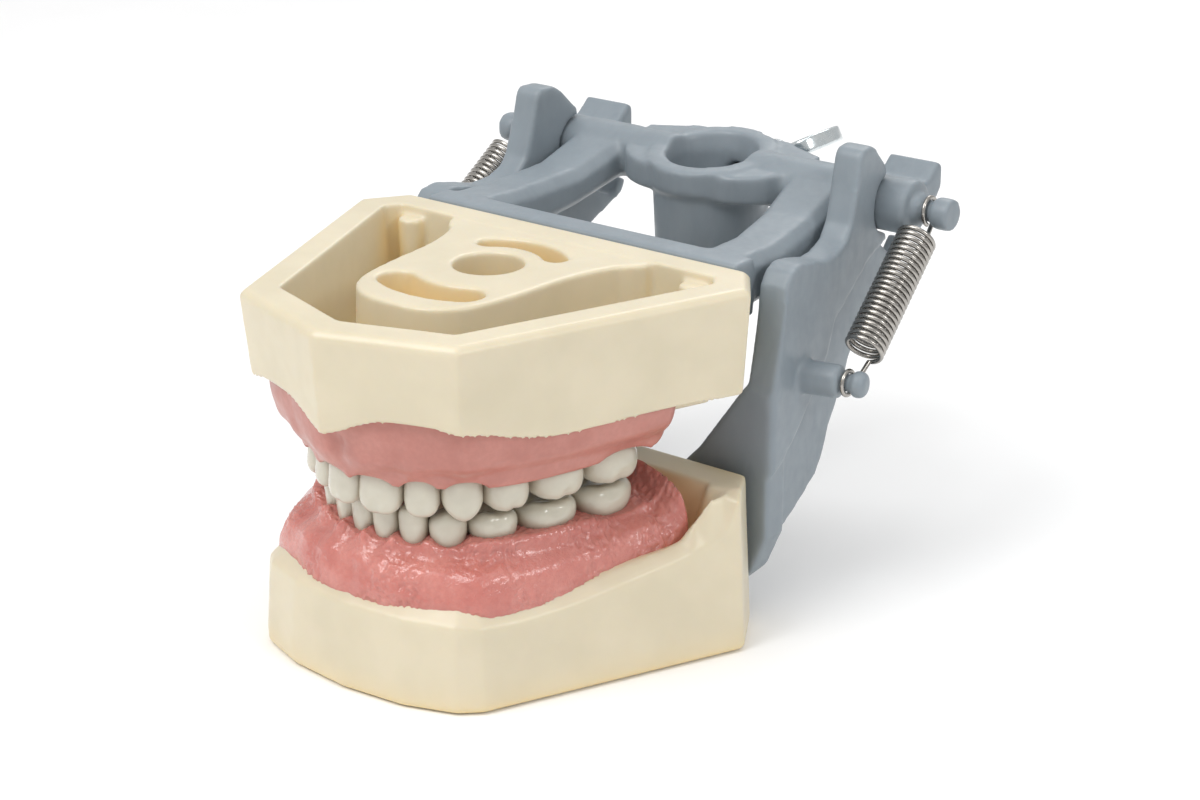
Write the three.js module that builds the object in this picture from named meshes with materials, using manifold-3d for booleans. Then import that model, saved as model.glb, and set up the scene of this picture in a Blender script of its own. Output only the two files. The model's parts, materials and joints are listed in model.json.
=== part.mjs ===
// Pediatric typodont: two ivory bases with pink gingivae and 24 screwed-in teeth, carried by a grey
// two-part articulator frame with coaxial spring pegs, two extension springs and a wing screw.
// Millimetres, +Z up, +X to the patient's left, -Y towards the incisors. The lower base stands on Z = 0.
import * as THREE from "three";
import { mergeVertices } from "three/addons/utils/BufferGeometryUtils.js";
import Module from "manifold-3d";

const wasm = await Module();
wasm.setup();

// ---- Driving dimensions -------------------------------------------------------------------------
const GAP = 0.3; // clearance between neighbouring pieces

// Right half of each base's plan outline, from the midline at the front to the rear edge.
const UPPER_PLAN = [[0, -51], [18.5, -45], [34, -6.3], [29.5, 0]];
const LOWER_PLAN = [[0, -48.7], [9.5, -47.8], [16.7, -45.3], [19.4, -42.8], [35.4, -8.6], [30.8, -0.6]];

const UPPER_TOP = 49.8; // top of the upper base
const UPPER_FLOOR = 37; // floor of its recess
const UPPER_CORE = 33.2; // underside of its core, inside the gingiva
const LOWER_FLOOR = 11; // roof of the lower base's recess
const LOWER_CORE = 14.8; // top of its core, inside the gingiva
const DRAFT = 0.07; // inward slope of the base walls towards the teeth
const RIM = 4.8; // width of the rim round each recess
const CORE_INSET = 4.2; // from the base wall to the core

const UPPER_GUM_LINE = 28.8; // where the upper crowns leave the gingiva
const LOWER_GUM_LINE = 20.3;
const ROOT = { radius: 1.75, pilot: 1.05, pilotDepth: 2.6 };
const SCREW = { head: 1.55, headHeight: 1.2, shank: 0.7, reach: 2.2 };
const POST = { x: 24.5, y: -5.6, radius: 2, top: 48.5 }; // round post in each rear corner of the recess
const MOUNT_SCREW = { head: 3, headHeight: 1.6, shank: 1.4, length: 11, hole: 1.8, bottom: -6.7 };

// Condyle axis: the hinge of the two frames, shared by the crossbar and the upper spring pegs.
const AXIS = { y: 33.5, z: 50.8, radius: 3.9 };
const SLEEVE = { y: 32.5, top: 53.9, slope: 0.13, bottom: 34, radius: 9.4, column: 8.6, foot: 8, bore: 6.35 };
const CENTRE_Y = 2.7; // middle of the model's length, moved to the origin

// ---- Solids: building, joining and cutting ------------------------------------------------------
function solid(geometry) {
  const bare = geometry.index ? geometry.toNonIndexed() : geometry.clone();
  for (const name of Object.keys(bare.attributes)) {
    if (name !== "position") bare.deleteAttribute(name);
  }
  const merged = mergeVertices(bare, 1e-4);
  return new wasm.Manifold(new wasm.Mesh({
    numProp: 3,
    vertProperties: merged.attributes.position.array,
    triVerts: new Uint32Array(merged.index.array),
  }));
}

const join = (...parts) => parts.reduce((a, b) => a.add(b));
const cut = (body, ...tools) => tools.reduce((a, b) => a.subtract(b), body);

function meshOf(name, body, material) {
  const data = body.getMesh();
  const geometry = new THREE.BufferGeometry();
  const positions = new Float32Array(data.numVert * 3);
  for (let i = 0; i < data.numVert; i++) {
    positions.set(data.vertProperties.subarray(i * data.numProp, i * data.numProp + 3), i * 3);
  }
  geometry.setAttribute("position", new THREE.BufferAttribute(positions, 3));
  geometry.setIndex(new THREE.BufferAttribute(data.triVerts, 1));
  geometry.computeVertexNormals();
  const mesh = new THREE.Mesh(geometry, material);
  mesh.name = name;
  return mesh;
}

// Closed body through a row of rings with equal point counts. Each end is a fan about the ring's centre.
function loft(rings) {
  const count = rings[0].length;
  const points = rings.flat();
  const faces = [];
  for (let r = 0; r + 1 < rings.length; r++) {
    for (let i = 0; i < count; i++) {
      const a = r * count + i;
      const b = r * count + (i + 1) % count;
      faces.push([a, b, b + count], [a, b + count, a + count]);
    }
  }
  const closeEnd = (ring, first, flip) => {
    const centre = ring.reduce((sum, p) => sum.add(p), at(0, 0, 0)).divideScalar(count);
    const hub = points.push(centre) - 1;
    for (let i = 0; i < count; i++) {
      const a = first + i;
      const b = first + (i + 1) % count;
      faces.push(flip ? [hub, b, a] : [hub, a, b]);
    }
  };
  closeEnd(rings[0], 0, true);
  closeEnd(rings.at(-1), (rings.length - 1) * count, false);
  const volume = faces.reduce((sum, [a, b, c]) => (
    sum + points[a].dot(points[b].clone().cross(points[c]))
  ), 0);
  const geometry = new THREE.BufferGeometry().setFromPoints(points);
  geometry.setIndex(faces.flatMap(([a, b, c]) => (volume < 0 ? [a, c, b] : [a, b, c])));
  return solid(geometry);
}

const at = (x, y, z) => new THREE.Vector3(x, y, z);
const mirrorX = (body) => body.mirror([1, 0, 0]);

function box(x0, x1, y0, y1, z0, z1) {
  const geometry = new THREE.BoxGeometry(x1 - x0, y1 - y0, z1 - z0);
  geometry.translate((x0 + x1) / 2, (y0 + y1) / 2, (z0 + z1) / 2);
  return solid(geometry);
}

// Turned body whose axis starts at `start` and runs along `direction`; profile holds [radius, distance].
function turned(profile, start, direction, segments = 20) {
  const points = profile.map(([radius, distance]) => new THREE.Vector2(radius, distance));
  const geometry = new THREE.LatheGeometry(points, segments);
  const ahead = direction.clone().normalize();
  geometry.applyQuaternion(new THREE.Quaternion().setFromUnitVectors(at(0, 1, 0), ahead));
  geometry.translate(start.x, start.y, start.z);
  return solid(geometry);
}

function rod(radius, start, end, segments = 20) {
  const length = start.distanceTo(end);
  const profile = [[0, 0], [radius, 0], [radius, length], [0, length]];
  return turned(profile, start, end.clone().sub(start), segments);
}

// ---- Base outlines ------------------------------------------------------------------------------
// Full closed outline, anticlockwise from above, starting at the front midline.
function fullPlan(half) {
  const left = half.slice(1).reverse().map(([x, y]) => [-x, y]);
  return [...half, ...left].map(([x, y]) => new THREE.Vector2(x, y));
}

// Moves each edge of an outline inwards by `inset`.
function insetPlan(plan, inset) {
  return plan.map((corner, i) => {
    const before = plan[(i + plan.length - 1) % plan.length];
    const after = plan[(i + 1) % plan.length];
    const u = corner.clone().sub(before).normalize();
    const v = after.clone().sub(corner).normalize();
    const shift = inset / (1 + u.dot(v));
    return new THREE.Vector2(corner.x - (u.y + v.y) * shift, corner.y + (u.x + v.x) * shift);
  });
}

// Points along an outline about `spacing` apart, lifted to the height that `heightAt` gives.
function planRing(plan, inset, heightAt, spacing = 2.4) {
  const corners = insetPlan(plan, inset);
  const ring = [];
  plan.forEach((outer, i) => {
    const steps = Math.max(1, Math.round(outer.distanceTo(plan[(i + 1) % plan.length]) / spacing));
    for (let s = 0; s < steps; s++) {
      const p = corners[i].clone().lerp(corners[(i + 1) % corners.length], s / steps);
      const z = typeof heightAt === "number" ? heightAt : heightAt(p.x, p.y);
      ring.push(at(p.x, p.y, z));
    }
  });
  return ring;
}

// Straight-line interpolation through [position, value] pairs.
function through(pairs, t) {
  const last = pairs.length - 1;
  if (t <= pairs[0][0]) return pairs[0][1];
  for (let i = 0; i < last; i++) {
    const [t0, v0] = pairs[i];
    const [t1, v1] = pairs[i + 1];
    if (t <= t1) return v0 + (v1 - v0) * (t - t0) / (t1 - t0);
  }
  return pairs[last][1];
}

// The same with its corners rounded: the mean over `span` to each side.
function eased(pairs, t, span = 1.6) {
  const samples = [-1, -0.5, 0, 0.5, 1].map((k) => through(pairs, t + k * span));
  return samples.reduce((a, b) => a + b) / samples.length;
}

// Smooth curve through [u, v] points, as `count` + 1 points evenly spaced along it.
function smooth(points, count) {
  const curve = new THREE.SplineCurve(points.map(([u, v]) => new THREE.Vector2(u, v)));
  return curve.getSpacedPoints(count).map((p) => [p.x, p.y]);
}

// ---- Dental arches and teeth --------------------------------------------------------------------
// Teeth of one quadrant, midline first: crown width, depth and height, and how its crown is formed.
const KINDS = ["central_incisor", "lateral_incisor", "canine", "first_molar", "second_molar",
  "permanent_molar"];
const UPPER_TEETH = [
  { width: 6.8, depth: 4.4, height: 4.9, form: "incisor" },
  { width: 5.2, depth: 4.2, height: 4.8, form: "incisor" },
  { width: 5.9, depth: 5.2, height: 5.4, form: "canine" },
  { width: 7.0, depth: 7.6, height: 4.75, form: "molar" },
  { width: 8.5, depth: 8.6, height: 4.75, form: "molar" },
  { width: 9.2, depth: 9.4, height: 4.75, form: "molar" },
];
const LOWER_TEETH = [
  { width: 4.2, depth: 3.6, height: 4.6, form: "incisor" },
  { width: 4.4, depth: 3.8, height: 4.6, form: "incisor" },
  { width: 5.5, depth: 4.6, height: 4, form: "canine" },
  { width: 7.4, depth: 6.6, height: 3.4, form: "molar" },
  { width: 9.3, depth: 7.8, height: 3.4, form: "molar" },
  { width: 9.6, depth: 8.4, height: 3.4, form: "molar" },
];

// Outer faces of the crowns, right half, as smooth curves in plan.
const mirrored = (half) => [...half.slice(1).reverse().map(([x, y]) => [-x, y]), ...half];
const arch = (half) => new THREE.CatmullRomCurve3(
  mirrored(half).map(([x, y]) => at(x, y, 0)), false, "centripetal",
);
const UPPER_ARCH = arch([[0, -45], [6.6, -43.3], [11.6, -40.6], [16.2, -36.4], [19.2, -30.4],
  [22, -22.4], [24.2, -13.2]]);
const LOWER_ARCH = arch([[0, -42.5], [4.2, -42], [8.4, -40.5], [13.2, -37.2], [17.6, -31],
  [20.6, -22.4], [22.6, -12.4]]);

// Point, direction along and direction outwards on an arch, `distance` mm from the midline towards +X.
function onArch(curve, distance) {
  const u = 0.5 + distance / curve.getLength();
  const clamped = Math.min(1, Math.max(0, u));
  const point = curve.getPointAt(clamped);
  const tangent = curve.getTangentAt(clamped);
  const outward = at(tangent.y, -tangent.x, 0).normalize();
  point.addScaledVector(tangent, (u - clamped) * curve.getLength());
  return { point, tangent, outward };
}

const TOOTH_SIDES = 12;

// Ring of a crown or root: a squarish oval, `width` along the arch and `depth` across it.
function oval(width, depth, z, shift = 0, power = 2.6) {
  const ring = [];
  for (let i = 0; i < TOOTH_SIDES; i++) {
    const angle = 2 * Math.PI * (i + 0.5) / TOOTH_SIDES;
    const c = Math.cos(angle);
    const s = Math.sin(angle);
    const x = Math.sign(c) * Math.abs(c) ** (2 / power) * width / 2;
    const y = Math.sign(s) * Math.abs(s) ** (2 / power) * depth / 2;
    ring.push(at(x, y + shift, z));
  }
  return ring;
}

// Crown rings from the gum line (z = 0) to the biting edge, y towards the lip or cheek.
function crownRings({ width, depth, height, form }, grow) {
  const w = width - GAP + grow;
  const d = depth + grow;
  if (form === "molar") {
    return [
      oval(w * 0.86, d * 0.84, 0),
      oval(w, d, height * 0.45),
      oval(w * 0.97, d * 0.93, height * 0.8),
      oval(w * 0.72, d * 0.62, height),
    ];
  }
  const tip = form === "canine" ? 0.28 : 0.9;
  const face = d / 2;
  return [
    oval(w * 0.8, d * 0.9, 0, face * 0.02),
    oval(w * 0.97, d * 0.84, height * 0.35, face * 0.12),
    oval(w, d * 0.52, height * 0.7, face * 0.4),
    oval(w * tip, d * 0.24, height, face * 0.6),
  ];
}

// Tooth in its own frame: the biting edge up, the root down with a pilot hole for its screw.
function toothBody(size, rootLength) {
  const { radius, pilot, pilotDepth } = ROOT;
  const round = (r, z) => oval(2 * r, 2 * r, z, 0, 2);
  return loft([
    round(pilot, pilotDepth - rootLength),
    round(pilot, -rootLength),
    round(radius, -rootLength),
    round(radius, -0.6),
    ...crownRings(size, 0),
  ]);
}

// Room that a tooth takes up in the gingiva, a gap wider all round.
function socketBody(size, rootLength) {
  const wide = 2 * (ROOT.radius + GAP);
  const [neck] = crownRings(size, 2 * GAP);
  return loft([
    oval(wide, wide, -rootLength - 1, 0, 2),
    oval(wide, wide, -0.6 - GAP, 0, 2),
    neck.map((p) => at(p.x, p.y, -GAP)),
    neck.map((p) => at(p.x, p.y, 1)),
  ]);
}

function screwBody() {
  const { head, headHeight, shank, reach } = SCREW;
  const tip = headHeight + GAP + UPPER_FLOOR - UPPER_CORE + GAP + reach;
  const profile = [[0, 0], [head, 0], [head, headHeight], [shank, headHeight], [shank, tip], [0, tip]];
  return turned(profile, at(0, 0, 0), at(0, 0, 1), 8);
}

// Where each tooth of a jaw stands: x, y and the turn about Z that faces it outwards.
function toothPlaces(teeth, curve) {
  const places = [];
  for (const side of [1, -1]) {
    let distance = 0;
    teeth.forEach((size, i) => {
      const { point, outward } = onArch(curve, side * (distance + size.width / 2));
      const centre = point.addScaledVector(outward, -size.depth / 2);
      const turn = Math.atan2(outward.y, outward.x) - Math.PI / 2;
      const contacts = [0, size.width].map((along) => {
        const contact = onArch(curve, side * (distance + along));
        const inwards = contact.tangent.multiplyScalar(along ? -side : side);
        return { point: contact.point, inwards };
      });
      distance += size.width;
      const name = `${side > 0 ? "left" : "right"}_${KINDS[i]}`;
      places.push({ size, name, centre, turn, contacts });
    });
  }
  return places;
}

// Tooth trimmed half a gap short of its two neighbours.
function standingTooth(place, rootLength, jaw) {
  const body = placed(toothBody(place.size, rootLength), place, jaw);
  return place.contacts.reduce((tooth, { point, inwards }) => (
    tooth.trimByPlane(inwards.toArray(), inwards.dot(point) + GAP / 2)
  ), body);
}

const degrees = THREE.MathUtils.radToDeg;

// Puts a tooth, socket or screw body of the jaw in place. Upper ones are turned over.
function placed(body, place, jaw) {
  const { x, y } = place.centre;
  const turn = [0, 0, degrees(place.turn)];
  if (jaw === "upper") {
    return body.mirror([0, 0, 1]).rotate(turn).translate([x, y, UPPER_GUM_LINE]);
  }
  return body.rotate(turn).translate([x, y, LOWER_GUM_LINE]);
}

// ---- Upper base ---------------------------------------------------------------------------------
// Lower edge of the upper base's wall, by distance from the midline: a notch at the lip frenum, a
// rise over the incisors and a lobe over the first molar.
const UPPER_EDGE = [[0, 35.5], [2.5, 36.3], [6, 38.3], [12, 38.6], [18.3, 38], [20.2, 36.4], [22.3, 34.7],
  [25, 35.3], [30.5, 35.5], [33, 34.9]];
const upperEdge = (x) => eased(UPPER_EDGE, Math.abs(x));

// Island in the recess: round at the front, flaring into the rear wall, with a hole and two pockets.
const ISLAND = [[0, -37], [5, -36.4], [8.6, -33.8], [10.3, -30], [11.3, -24], [12.2, -15.6],
  [14.4, -9], [17, -6.4], [17, -2]];
const ISLAND_HOLE = { y: -17.6, radius: 4.7 };
const POCKET_DEPTH = 6;
const FRONT_POCKET = { inner: 10.2, outer: 15.4, from: 243, to: 297 };
const REAR_POCKET = { inner: 7.4, outer: 10.6, from: 50, to: 130 };

function recessIsland(top, bottom) {
  const plan = smooth(mirrored(ISLAND), 44).map(([x, y]) => new THREE.Vector2(x, y));
  return loft([planRing(plan, -0.5, bottom, 99), planRing(plan, 0, top, 99)]);
}

// Curved pocket about the island's hole, between two radii, with round ends at two angles in degrees.
function curvedPocket({ inner, outer, from, to }, bottom, top) {
  const rad = THREE.MathUtils.degToRad;
  const shape = new THREE.Shape();
  shape.absarc(0, 0, outer, rad(from), rad(to), false);
  shape.absarc(0, 0, inner, rad(to), rad(from), true);
  const depth = top - bottom;
  const arc = new THREE.ExtrudeGeometry(shape, { depth, bevelEnabled: false, curveSegments: 10 });
  arc.translate(0, ISLAND_HOLE.y, bottom);
  const ends = [from, to].map((angle) => {
    const x = (inner + outer) / 2 * Math.cos(rad(angle));
    const y = (inner + outer) / 2 * Math.sin(rad(angle)) + ISLAND_HOLE.y;
    return rod((outer - inner) / 2, at(x, y, bottom), at(x, y, top), 16);
  });
  return join(solid(arc), ...ends);
}

// The upper base without its recess and holes.
function upperBlock() {
  const plan = fullPlan(UPPER_PLAN);
  const draft = DRAFT * (UPPER_TOP - UPPER_FLOOR);
  const shell = loft([
    planRing(plan, draft + 1.6, (x) => upperEdge(x) + 1),
    planRing(plan, draft, upperEdge),
    planRing(plan, 0, UPPER_TOP - 0.8),
    planRing(plan, 0.8, UPPER_TOP),
  ]);
  const core = loft([
    planRing(plan, CORE_INSET + 1, UPPER_CORE, 99),
    planRing(plan, CORE_INSET, UPPER_FLOOR + 3, 99),
  ]);
  return join(shell, core);
}

function upperBase(places) {
  const plan = fullPlan(UPPER_PLAN);
  const recess = loft([
    planRing(plan, RIM + 0.8, UPPER_FLOOR, 99),
    planRing(plan, RIM, UPPER_TOP + 1, 99),
  ]);
  const island = recessIsland(UPPER_TOP - 0.1, UPPER_FLOOR - 0.5);
  const above = UPPER_TOP + 1;
  const { y, radius } = ISLAND_HOLE;
  const openings = [
    rod(radius, at(0, y, UPPER_FLOOR + 1), at(0, y, above), 36),
    curvedPocket(FRONT_POCKET, UPPER_TOP - POCKET_DEPTH, above),
    curvedPocket(REAR_POCKET, UPPER_TOP - POCKET_DEPTH, above),
    ...screwHoles(places, UPPER_CORE - 1, UPPER_FLOOR + 1),
    mountHole(UPPER_MOUNT_Z),
  ];
  const posts = [1, -1].map((side) => (
    rod(POST.radius, at(side * POST.x, POST.y, UPPER_FLOOR), at(side * POST.x, POST.y, POST.top), 16)
  ));
  return cut(join(cut(upperBlock(), recess), island, ...posts), ...openings);
}

// Clearance holes for the tooth screws of a jaw, from one height to another.
function screwHoles(places, bottom, top) {
  return places.map(({ centre: { x, y } }) => (
    rod(SCREW.shank + GAP, at(x, y, bottom), at(x, y, top), 6)
  ));
}

// ---- Lower base ---------------------------------------------------------------------------------
// Top edge of the lower base's wall: level round the front, rising along the sides to the heels.
const LOWER_EDGE = [[-47, 12], [-38.5, 11.2], [-30.7, 12.1], [-19.9, 14.4], [-10.2, 16.7],
  [-8.6, 22.6], [0, 21.6]];
const lowerEdge = (x, y) => eased(LOWER_EDGE, y, 1);
const heelTop = (x, y) => through([[-30, 13.4], [-15, 16.4], [-10.5, 22], [0, 21.6]], y);
const heelFront = (x, y) => through([[-10.5, LOWER_CORE], [-7.5, 21.6]], y);

// The lower base without its recess and holes.
function lowerBlock() {
  const plan = fullPlan(LOWER_PLAN);
  return loft([
    planRing(plan, 0.6, 0),
    planRing(plan, 0, 0.6),
    planRing(plan, 0.9, lowerEdge),
    planRing(plan, 3, heelTop),
    planRing(plan, 5.6, heelFront),
    planRing(plan, 7.6, LOWER_CORE),
  ]);
}

function lowerBase(places) {
  const plan = fullPlan(LOWER_PLAN);
  const recess = loft([planRing(plan, RIM, -1, 99), planRing(plan, RIM + 0.8, LOWER_FLOOR, 99)]);
  const holes = screwHoles(places, LOWER_FLOOR - 1, LOWER_CORE + 1);
  return cut(lowerBlock(), recess, ...holes, mountHole(LOWER_MOUNT_Z));
}

// Blind hole for a mounting screw in the rear wall of a base.
function mountHole(z) {
  return rod(MOUNT_SCREW.hole, at(0, MOUNT_SCREW.bottom, z), at(0, 1, z), 12);
}

// ---- Gingivae -----------------------------------------------------------------------------------
const UPPER_ROOT_LENGTH = 4;
const LOWER_ROOT_LENGTH = 5.1;

// Body swept along an arch: for a distance from the midline, `section` gives its points as
// [distance outwards, height].
function archSweep(curve, reach, stations, section) {
  const rings = [];
  for (let i = 0; i <= stations; i++) {
    const distance = reach * (2 * i / stations - 1);
    const { point, outward } = onArch(curve, distance);
    rings.push(section(Math.abs(distance)).map(([out, z]) => (
      point.clone().addScaledVector(outward, out).setZ(z)
    )));
  }
  return loft(rings);
}

function upperGingiva(places) {
  const reach = 46;
  const edgeOut = [[0, 3.2], [8, 3.4], [15, 4.8], [21, 3.2], [28, 3.1], [36, 4], [46, 4.4]];
  const depth = [[0, 4.4], [9, 4.2], [15, 5.2], [21, 7.6], [29, 8.6], [46, 9.2]];
  const ridge = archSweep(UPPER_ARCH, reach, 26, (distance) => {
    const out = through(edgeOut, distance);
    const inner = -through(depth, distance);
    return [[out, 39], [out - 0.3, 35], [out * 0.55 + 0.3, 31.5], [0.9, 29.3], [0.2, UPPER_GUM_LINE],
      [inner - 0.2, UPPER_GUM_LINE], [inner - 1.3, 29.4], [inner - 2.6, 32], [inner - 2.6, 39]];
  });
  const palatePlan = fullPlan([[0, -41], [8, -38], [13, -30], [16, -16], [17, -9]]);
  const palate = loft([
    planRing(palatePlan, 1.5, UPPER_CORE - 2),
    planRing(palatePlan, 0, UPPER_CORE + 1),
  ]);
  const sockets = places.map((place) => (
    placed(socketBody(place.size, UPPER_ROOT_LENGTH), place, "upper")
  ));
  return cut(join(ridge, palate), upperBlock().translate([0, 0, -GAP]), ...sockets);
}

function lowerGingiva(places) {
  const reach = 43.5;
  const footOut = [[0, 4.4], [10, 5], [15, 6.4], [19, 5], [26, 4.4], [34, 4.8], [43.5, 5]];
  const footHeight = [[0, 13], [10, 12.4], [16, 11.6], [20, 10.8], [27, 11], [34, 13], [43.5, 16.5]];
  const depth = [[0, 3.6], [8.6, 3.8], [14, 4.6], [20, 6.6], [28, 7.8], [43.5, 8.4]];
  const ridge = archSweep(LOWER_ARCH, reach, 26, (distance) => {
    const out = through(footOut, distance);
    const foot = through(footHeight, distance);
    const inner = -through(depth, distance);
    return [[out, foot - 1], [out - 0.3, foot + 1.8], [out * 0.5 + 0.6, 17.8], [0.9, 19.9],
      [0.2, LOWER_GUM_LINE], [inner - 0.2, LOWER_GUM_LINE], [inner - 1.3, 19.6],
      [inner - 2.4, 16.5], [inner - 2.6, 13]];
  });
  const sockets = places.map((place) => (
    placed(socketBody(place.size, LOWER_ROOT_LENGTH), place, "lower")
  ));
  return cut(ridge, lowerBlock().translate([0, 0, GAP]), ...sockets);
}

// ---- Articulator frames -------------------------------------------------------------------------
const UPPER_MOUNT_Z = 45.9;
const LOWER_MOUNT_Z = 7;
const PLATE = { front: GAP, back: 4.8 };
const PEG = { from: 30, shoulder: 34.2, neckFrom: 35.3, neckTo: 37.2, end: 40, radius: 2.3, neck: 1.5 };
const WING_Z = 48.6; // height of the wing screw

// Prism from an outline in one plane: a list of [u, v] points mapped by `place(u, v, t)` at t = 0 and 1.
function prism(outline, place) {
  return loft([0, 1].map((t) => outline.map(([u, v]) => place(u, v, t))));
}

// Rectangle in the XZ plane with cut corners, as one ring of a limb.
function limbRing(x0, x1, z0, z1, y, corner = 1.6) {
  return [
    at(x0 + corner, y, z0), at(x1 - corner, y, z0), at(x1, y, z0 + corner), at(x1, y, z1 - corner),
    at(x1 - corner, y, z1), at(x0 + corner, y, z1), at(x0, y, z1 - corner), at(x0, y, z0 + corner),
  ];
}

// Spring peg of the upper frame: a round pin with a neck for the spring's hook.
function springPeg() {
  const { from, neckFrom, neckTo, end, radius, neck } = PEG;
  const profile = [[0, from], [radius, from], [radius, neckFrom], [neck, neckFrom], [neck, neckTo],
    [radius, neckTo], [radius, end], [0, end]];
  return turned(profile, at(0, AXIS.y, AXIS.z), at(1, 0, 0), 16);
}

// Solid of the pole sleeve: a tapered column under a wider head, its top rising to the rear.
function sleeveBody() {
  const { y, top, slope, bottom, radius, column, foot } = SLEEVE;
  const profile = [[0, bottom], [foot, bottom], [column, 48.4], [radius, 49.2], [radius, top + 2],
    [0, top + 2]];
  const body = turned(profile, at(0, y, 0), at(0, 0, 1), 40);
  const normal = at(0, slope, -1).normalize();
  return body.trimByPlane(normal.toArray(), normal.dot(at(0, y, top)));
}

function sleeveBore() {
  const { y, top, bottom, bore } = SLEEVE;
  const profile = [[0, bottom - 1], [bore, bottom - 1], [bore, top - 2], [bore + 1, top + 2], [0, top + 2]];
  return turned(profile, at(0, y, 0), at(0, 0, 1), 40);
}

// Web between the limbs and the sleeve. Its front edge is an arch, the rear edge of the window, and
// its top lies just below the sleeve's.
function frameWeb() {
  const { y, top, slope } = SLEEVE;
  const front = smooth(mirrored([[0, 25], [5, 25], [9, 25.8], [13, 28.6], [15.4, 33]]), 20);
  const outline = [...front, [15.4, 38], [8, 41], [-8, 41], [-15.4, 38]];
  const height = (v) => top - 0.5 + slope * (v - y);
  return prism(outline, (u, v, t) => at(u, v, t ? height(v) : 48.4));
}

function upperFrame() {
  const { y, z, radius } = AXIS;
  const plate = box(-27, 27, PLATE.front, PLATE.back, 41.8, UPPER_TOP);
  const limb = loft([
    limbRing(18.4, 26.8, 42, 49.8, 2),
    limbRing(17.6, 26.4, 42.6, 49.5, 12),
    limbRing(15.8, 25.1, 44.6, 50.4, 22),
    limbRing(14.5, 24.7, 47, 53.2, 30.5),
    limbRing(13.6, 24.4, 47.6, 54.4, 36),
  ]);
  const crossbar = rod(radius, at(-PEG.shoulder, y, z), at(PEG.shoulder, y, z), 24);
  const blockOutline = [[34, 49], [39, 48.2], [43.4, 49.6], [44.4, 51], [44.4, 54.2], [43.3, 54.8],
    [40.6, 52.5], [36, 53.4], [33.4, 54.4]];
  const block = prism(blockOutline, (v, w, t) => at(23.4 + 8.4 * t, v, w));
  const screwBoss = rod(3.8, at(0, SLEEVE.y + 3, WING_Z), at(0, 44.6, WING_Z), 20);
  const sides = [limb, springPeg(), block].flatMap((body) => [body, mirrorX(body)]);
  return cut(
    join(plate, crossbar, frameWeb(), sleeveBody(), screwBoss, ...sides),
    sleeveBore(),
    rod(WING_SHANK.hole, at(0, SLEEVE.y, WING_Z), at(0, 46, WING_Z), 16),
    rod(MOUNT_SCREW.hole, at(0, -1, UPPER_MOUNT_Z), at(0, 6, UPPER_MOUNT_Z), 12),
  );
}

// Side view of a lower arm, [y, z]: rear edge, stop behind the end block's swing, saddle, prong and tab.
function armOutline() {
  const polar = (radius, angle) => {
    const a = THREE.MathUtils.degToRad(angle);
    return [AXIS.y + radius * Math.cos(a), AXIS.z + radius * Math.sin(a)];
  };
  const saddle = [268, 250, 230, 205, 180, 155, 125, 95].map((angle) => polar(AXIS.radius + GAP, angle));
  const stop = [polar(11.9, -40), polar(11.9, -48), polar(11.9, -57), polar(10.2, -64), polar(6.4, -84)];
  const rear = [[0.6, 11.4], [4.7, 11.4], [7.6, 12.2], [11.7, 14], [15.6, 16], [17.4, 17.9], [19, 21.4],
    [22, 25.4], [25.3, 30.6], [29.5, 33.6], [36, 37.2], [42.6, 40.6], [43.6, 42.4]];
  const prong = [[33, 56.1], [29.2, 59.7], [28, 60.3], [25.4, 60.3], [24.6, 59.6], [23.3, 54.4], [22, 50.4],
    [20.4, 48.6], [18, 47.7], [14.4, 47.6]];
  const tab = [[11, 48.5], [7.5, 49.2], [5, 48.6], [3.6, 46.8], [3, 43], [1.8, 38], [0.6, 33]];
  return [...rear, ...stop, ...saddle, ...prong, ...tab];
}

const armOuter = (y) => 33 - 0.11 * (y - 3);
const armInner = (y) => 28.5 - 0.11 * (y - 3);
const FLANGE_STEP = 1.2; // how far the arm's outer face steps in behind its front band
// The step's line in side view, [y, z], closed round the rear and the underside of the arm.
const FLANGE = [[-1, 20.2], [7, 24.7], [11.1, 28.4], [16.2, 33.5], [18.1, 38], [21.5, 40], [28.3, 44],
  [33.5, 45.4], [50, 45.4], [50, 5], [-1, 5]];

// Spring boss of a lower arm: a pin with a neck and a rounded head.
const BOSS = { start: at(31, 8.4, 33.2), slant: 0.21, radius: 2.35, length: 6.9, neck: 1.2, neckLength: 1.7,
  head: 1.9, headLength: 1.9 };
BOSS.direction = at(Math.cos(BOSS.slant), Math.sin(BOSS.slant), 0);

// Plate from a side view [y, z], between an inner and an outer face given as x for a y.
function sidePlate(outline, inner, outer) {
  const shape = new THREE.Shape(outline.map(([y, z]) => new THREE.Vector2(y, z)));
  const geometry = new THREE.ExtrudeGeometry(shape, { depth: 1, bevelEnabled: false });
  const points = geometry.getAttribute("position");
  for (let i = 0; i < points.count; i++) {
    const y = points.getX(i);
    const z = points.getY(i);
    points.setXYZ(i, THREE.MathUtils.lerp(inner(y), outer(y), points.getZ(i)), y, z);
  }
  return solid(geometry);
}

function lowerBoss() {
  const { start, direction, radius, length, neck, neckLength, head, headLength } = BOSS;
  const headFrom = length + neckLength;
  const end = headFrom + headLength;
  const profile = [[0, 0], [radius, 0], [radius, length], [neck, length], [neck, headFrom],
    [head, headFrom], [head, end - 0.6], [head - 0.5, end], [0, end]];
  return turned(profile, start, direction, 16);
}

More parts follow.
